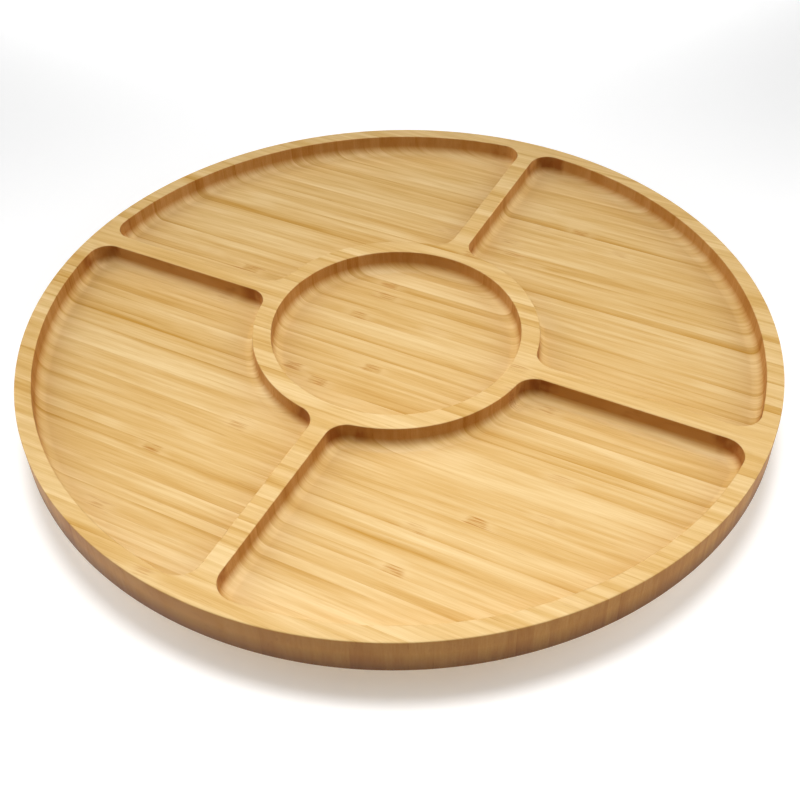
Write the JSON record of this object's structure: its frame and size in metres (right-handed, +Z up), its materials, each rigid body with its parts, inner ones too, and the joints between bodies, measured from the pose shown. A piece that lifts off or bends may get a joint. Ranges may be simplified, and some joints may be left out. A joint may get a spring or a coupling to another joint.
{
  "type": "lazy susan turntable",
  "caption": "Round divided bamboo tray with a centre well and curved pockets, turning on a thin ring bearing over a small footed base disc.",
  "frame": {"origin": "on the surface that the feet stand on, under the centre of the tray", "axes": "+Z up along the axis of rotation; the tray's ridges run along X and Y, and its bamboo strips along X"},
  "size_m": [0.355, 0.355, 0.036],
  "materials": {
    "bamboo_tray": "satin food-safe oil over vertical-grain laminated bamboo",
    "bamboo_base": "satin oil over laminated bamboo",
    "aluminium": "satin, turned",
    "bearing_steel": "polished",
    "zinc_screw": "zinc plated",
    "nylon": "moulded, natural white",
    "rubber": "matt black"
  },
  "bodies": {
    "base": {"base_disc": "bamboo_base", "foot_1": "rubber", "foot_2": "rubber", "foot_3": "rubber", "foot_4": "rubber", "inner_ring": "aluminium", "base_screw_1": "zinc_screw", "base_screw_2": "zinc_screw", "base_screw_3": "zinc_screw", "base_screw_4": "zinc_screw"},
    "cage": {"ball_cage": "nylon", "ball_01": "bearing_steel", "ball_02": "bearing_steel", "ball_03": "bearing_steel", "ball_04": "bearing_steel", "ball_05": "bearing_steel", "ball_06": "bearing_steel", "ball_07": "bearing_steel", "ball_08": "bearing_steel", "ball_09": "bearing_steel", "ball_10": "bearing_steel", "ball_11": "bearing_steel", "ball_12": "bearing_steel", "ball_13": "bearing_steel", "ball_14": "bearing_steel", "ball_15": "bearing_steel", "ball_16": "bearing_steel", "ball_17": "bearing_steel", "ball_18": "bearing_steel"},
    "tray": {"tray": "bamboo_tray", "outer_ring": "aluminium", "tray_screw_1": "zinc_screw", "tray_screw_2": "zinc_screw", "tray_screw_3": "zinc_screw", "tray_screw_4": "zinc_screw"}
  },
  "joints": [
    {"name": "tray_spin", "type": "hinge", "parent": "base", "child": "tray", "pos_m": [0, 0, 0.013], "axis": [0, 0, 1], "continuous": true},
    {"name": "cage_spin", "type": "hinge", "parent": "base", "child": "cage", "pos_m": [0, 0, 0.013], "axis": [0, 0, 1], "continuous": true}
  ],
  "couplings": [
    {"joint": "cage_spin", "follows": "tray_spin", "ratio": 0.511}
  ]
}
